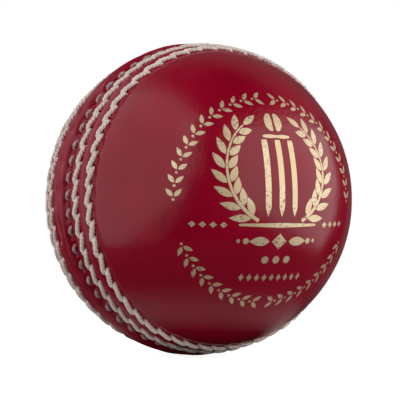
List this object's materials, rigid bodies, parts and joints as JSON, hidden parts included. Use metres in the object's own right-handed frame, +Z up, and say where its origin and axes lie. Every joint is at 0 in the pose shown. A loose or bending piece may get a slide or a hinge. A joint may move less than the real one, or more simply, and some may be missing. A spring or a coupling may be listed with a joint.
{
  "type": "cricket ball",
  "caption": "Junior two-piece cricket ball: red leather cups over a quilted cork and worsted core, joined by a raised hand-stitched seam.",
  "frame": {"origin": "the ball's centre", "axes": "+Z up, the seam standing in the XZ plane, +Y through the middle of the plain cup; the stamped cup faces -Y"},
  "size_m": [0.0698, 0.0676, 0.0698],
  "materials": {
    "red_leather": "gloss",
    "cream_thread": "matte",
    "closing_thread": "matte",
    "worsted_yarn": "matte",
    "pressed_cork": "matte",
    "gold_foil": "satin"
  },
  "bodies": {
    "root": {"closing_stitch_row_plain": "closing_thread", "closing_stitch_row_stamped": "closing_thread", "cork_layer_1_strip_1": "pressed_cork", "cork_layer_1_strip_2": "pressed_cork", "cork_layer_1_strip_3": "pressed_cork", "cork_layer_1_strip_4": "pressed_cork", "cork_layer_2_strip_1": "pressed_cork", "cork_layer_2_strip_2": "pressed_cork", "cork_layer_2_strip_3": "pressed_cork", "cork_layer_2_strip_4": "pressed_cork", "cork_layer_3_strip_1": "pressed_cork", "cork_layer_3_strip_2": "pressed_cork", "cork_layer_3_strip_3": "pressed_cork", "cork_layer_3_strip_4": "pressed_cork", "cork_layer_4_strip_1": "pressed_cork", "cork_layer_4_strip_2": "pressed_cork", "cork_layer_4_strip_3": "pressed_cork", "cork_layer_4_strip_4": "pressed_cork", "cork_layer_5_strip_1": "pressed_cork", "cork_layer_5_strip_2": "pressed_cork", "cork_layer_5_strip_3": "pressed_cork", "cork_layer_5_strip_4": "pressed_cork", "cork_nucleus": "pressed_cork", "leather_cup_plain": "red_leather", "leather_cup_stamped": "red_leather", "middle_stitch_row_plain": "cream_thread", "middle_stitch_row_stamped": "cream_thread", "outer_stitch_row_plain": "cream_thread", "outer_stitch_row_stamped": "cream_thread", "yarn_winding_1": "worsted_yarn", "yarn_winding_2": "worsted_yarn", "yarn_winding_3": "worsted_yarn", "yarn_winding_4": "worsted_yarn", "yarn_winding_5": "worsted_yarn"}
  },
  "joints": []
}
